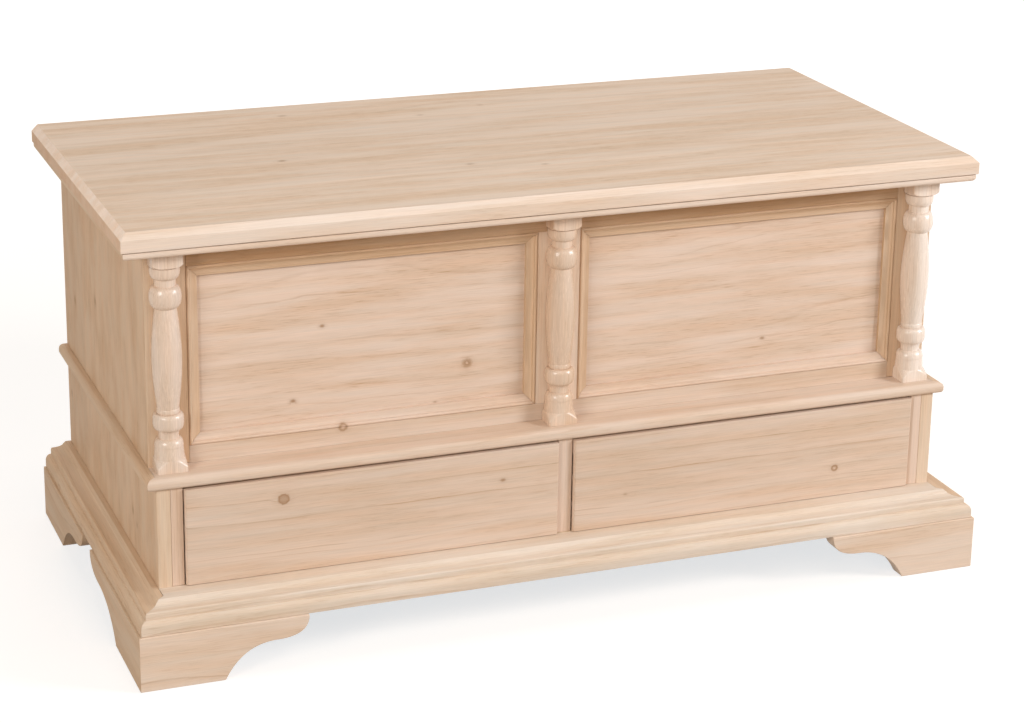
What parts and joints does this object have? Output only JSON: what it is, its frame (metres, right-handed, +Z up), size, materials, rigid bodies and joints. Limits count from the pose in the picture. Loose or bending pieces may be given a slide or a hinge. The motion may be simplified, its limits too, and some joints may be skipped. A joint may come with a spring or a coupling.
{
  "type": "mule chest",
  "caption": "Low pine chest with a lift-up lid over a panelled box, turned half columns, side-by-side drawers below and bracket feet.",
  "frame": {"origin": "on the floor, midway between the sides and midway from the front of the feet to the back of the hinge barrels", "axes": "X across the front from left to right, -Y towards the front, Z up"},
  "size_m": [1.05, 0.5414, 0.516],
  "materials": {
    "pine_light": "bare planed pine",
    "pine": "bare planed pine",
    "pine_drawer": "bare planed pine with knots",
    "pine_side": "bare planed pine",
    "plywood": "thin plywood",
    "brass": "satin",
    "steel": "satin"
  },
  "bodies": {
    "case": {"back_board": "pine_side", "base_board": "plywood", "box_floor": "plywood", "column_left": "pine_light", "column_middle": "pine_light", "column_right": "pine_light", "drawer_cheek_left": "pine", "drawer_cheek_right": "pine", "drawer_partition": "pine", "foot_front_left": "pine_light", "foot_front_right": "pine_light", "foot_side_front_left": "pine_side", "foot_side_front_right": "pine_side", "foot_side_rear_left": "pine_side", "foot_side_rear_right": "pine_side", "front_muntin": "pine", "front_panel_left": "pine", "front_panel_right": "pine", "front_rail_bottom": "pine", "front_rail_top": "pine", "front_stile_left": "pine", "front_stile_right": "pine", "hinge_leaf_case_left": "brass", "hinge_leaf_case_right": "brass", "hinge_pin_left": "steel", "hinge_pin_right": "steel", "panel_moulding_left_foot": "pine", "panel_moulding_left_inner": "pine", "panel_moulding_left_outer": "pine", "panel_moulding_left_top": "pine", "panel_moulding_right_foot": "pine", "panel_moulding_right_inner": "pine", "panel_moulding_right_outer": "pine", "panel_moulding_right_top": "pine", "plinth_front": "pine_light", "plinth_left": "pine_light", "plinth_right": "pine_light", "side_left": "pine_side", "side_right": "pine_side", "top_frame_front": "pine_light", "top_frame_left": "pine_light", "top_frame_right": "pine_light", "waist_moulding_left": "pine_light", "waist_moulding_right": "pine_light", "waist_rail": "pine_light"},
    "lid": {"hinge_leaf_lid_left": "brass", "hinge_leaf_lid_right": "brass", "lid_batten_left": "pine", "lid_batten_right": "pine", "lid_board": "pine_light"},
    "drawer_left": {"drawer_left_back": "pine", "drawer_left_bottom": "plywood", "drawer_left_front": "pine_drawer", "drawer_left_side_left": "pine", "drawer_left_side_right": "pine"},
    "drawer_right": {"drawer_right_back": "pine", "drawer_right_bottom": "plywood", "drawer_right_front": "pine_drawer", "drawer_right_side_left": "pine", "drawer_right_side_right": "pine"}
  },
  "joints": [
    {"name": "lid_hinge", "type": "hinge", "parent": "case", "child": "lid", "pos_m": [0, 0.2677, 0.4935], "axis": [-1, 0, 0], "range_deg": [0, 95]},
    {"name": "drawer_left_slide", "type": "slide", "parent": "case", "child": "drawer_left", "axis": [0, -1, 0], "range_m": [0, 0.32]},
    {"name": "drawer_right_slide", "type": "slide", "parent": "case", "child": "drawer_right", "axis": [0, -1, 0], "range_m": [0, 0.32]}
  ]
}
